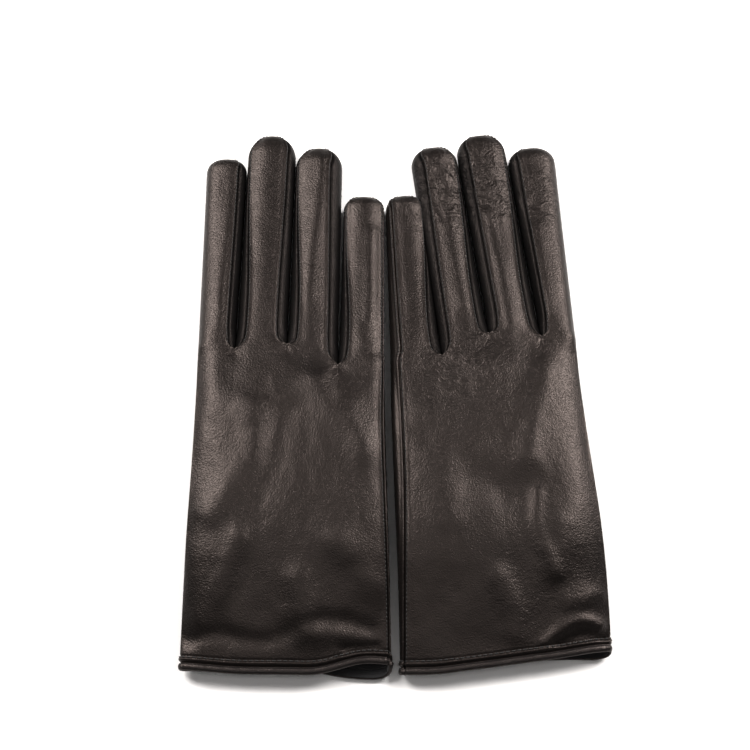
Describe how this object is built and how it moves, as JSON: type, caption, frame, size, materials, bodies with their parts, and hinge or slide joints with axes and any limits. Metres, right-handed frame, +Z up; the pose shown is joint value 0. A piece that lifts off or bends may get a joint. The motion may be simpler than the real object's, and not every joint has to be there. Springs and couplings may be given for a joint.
{
  "type": "pair of lined leather dress gloves",
  "caption": "Lined black leather dress gloves with side strips between the fingers, tucked thumbs and bound cuffs, lying palms down side by side.",
  "frame": {"origin": "middle of the pair's footprint, on the surface that the gloves lie on", "axes": "+Y from the cuffs to the fingertips, +X from the right-hand glove to the left-hand glove, +Z up from the surface"},
  "size_m": [0.1756, 0.2401, 0.0212],
  "materials": {
    "black_nappa_leather": "smooth semi-gloss grain",
    "fourchette_leather": "smooth semi-gloss grain",
    "edge_binding_leather": "semi-gloss, rolled edge",
    "knitted_lining": "matt knit",
    "black_thread": "satin twisted thread"
  },
  "bodies": {
    "right_hand": {"right_hand_shell": "black_nappa_leather", "right_hand_lining": "knitted_lining", "right_cuff_binding": "edge_binding_leather", "right_hem_stitching": "black_thread", "right_side_seam_stitching": "black_thread", "right_thumb_seam_stitching": "black_thread"},
    "right_thumb": {"right_thumb_shell": "black_nappa_leather", "right_thumb_lining": "knitted_lining"},
    "right_index": {"right_index_shell": "black_nappa_leather", "right_index_lining": "knitted_lining", "right_index_stitching": "black_thread", "right_index_fourchette_by_middle": "fourchette_leather"},
    "right_middle": {"right_middle_shell": "black_nappa_leather", "right_middle_lining": "knitted_lining", "right_middle_stitching": "black_thread", "right_middle_fourchette_by_index": "fourchette_leather", "right_middle_fourchette_by_ring": "fourchette_leather"},
    "right_ring": {"right_ring_shell": "black_nappa_leather", "right_ring_lining": "knitted_lining", "right_ring_stitching": "black_thread", "right_ring_fourchette_by_middle": "fourchette_leather", "right_ring_fourchette_by_little": "fourchette_leather"},
    "right_little": {"right_little_shell": "black_nappa_leather", "right_little_lining": "knitted_lining", "right_little_stitching": "black_thread", "right_little_fourchette_by_ring": "fourchette_leather"},
    "left_hand": {"left_hand_shell": "black_nappa_leather", "left_hand_lining": "knitted_lining", "left_cuff_binding": "edge_binding_leather", "left_hem_stitching": "black_thread", "left_side_seam_stitching": "black_thread", "left_thumb_seam_stitching": "black_thread"},
    "left_thumb": {"left_thumb_shell": "black_nappa_leather", "left_thumb_lining": "knitted_lining"},
    "left_little": {"left_little_shell": "black_nappa_leather", "left_little_lining": "knitted_lining", "left_little_stitching": "black_thread", "left_little_fourchette_by_ring": "fourchette_leather"},
    "left_ring": {"left_ring_shell": "black_nappa_leather", "left_ring_lining": "knitted_lining", "left_ring_stitching": "black_thread", "left_ring_fourchette_by_little": "fourchette_leather", "left_ring_fourchette_by_middle": "fourchette_leather"},
    "left_middle": {"left_middle_shell": "black_nappa_leather", "left_middle_lining": "knitted_lining", "left_middle_stitching": "black_thread", "left_middle_fourchette_by_ring": "fourchette_leather", "left_middle_fourchette_by_index": "fourchette_leather"},
    "left_index": {"left_index_shell": "black_nappa_leather", "left_index_lining": "knitted_lining", "left_index_stitching": "black_thread", "left_index_fourchette_by_middle": "fourchette_leather"}
  },
  "joints": [
    {"name": "right_index_lift", "type": "hinge", "parent": "right_hand", "child": "right_index", "pos_m": [-0.0759, 0.02, 0.0175], "axis": [0.9999, -0.016, 0], "range_deg": [0, 45]},
    {"name": "right_middle_lift", "type": "hinge", "parent": "right_hand", "child": "right_middle", "pos_m": [-0.05664, 0.022, 0.0175], "axis": [0.9996, -0.0269, 0], "range_deg": [0, 45]},
    {"name": "right_ring_lift", "type": "hinge", "parent": "right_hand", "child": "right_ring", "pos_m": [-0.03486, 0.018, 0.0175], "axis": [0.9997, -0.0225, 0], "range_deg": [0, 45]},
    {"name": "right_little_lift", "type": "hinge", "parent": "right_hand", "child": "right_little", "pos_m": [-0.01385, 0.013, 0.0175], "axis": [1, -0.0085, 0], "range_deg": [0, 45]},
    {"name": "right_thumb_swing", "type": "hinge", "parent": "right_hand", "child": "right_thumb", "pos_m": [-0.06675, -0.056, 0.0036], "axis": [0, 0, 1], "range_deg": [0, 80]},
    {"name": "left_little_lift", "type": "hinge", "parent": "left_hand", "child": "left_little", "pos_m": [0.00863, 0.01399, 0.0175], "axis": [0.9981, 0.0609, 0], "range_deg": [0, 45]},
    {"name": "left_ring_lift", "type": "hinge", "parent": "left_hand", "child": "left_ring", "pos_m": [0.02936, 0.01997, 0.0175], "axis": [0.9942, 0.1074, 0], "range_deg": [0, 45]},
    {"name": "left_middle_lift", "type": "hinge", "parent": "left_hand", "child": "left_middle", "pos_m": [0.0507, 0.02496, 0.0175], "axis": [0.9932, 0.116, 0], "range_deg": [0, 45]},
    {"name": "left_index_lift", "type": "hinge", "parent": "left_hand", "child": "left_index", "pos_m": [0.06982, 0.02497, 0.0175], "axis": [0.9953, 0.0964, 0], "range_deg": [0, 45]},
    {"name": "left_thumb_swing", "type": "hinge", "parent": "left_hand", "child": "left_thumb", "pos_m": [0.06388, -0.056, 0.0036], "axis": [0, 0, -1], "range_deg": [0, 80]},
    {"name": "left_glove_apart", "type": "slide", "parent": "right_hand", "child": "left_hand", "axis": [1, 0, 0], "range_m": [0, 0.08]}
  ]
}
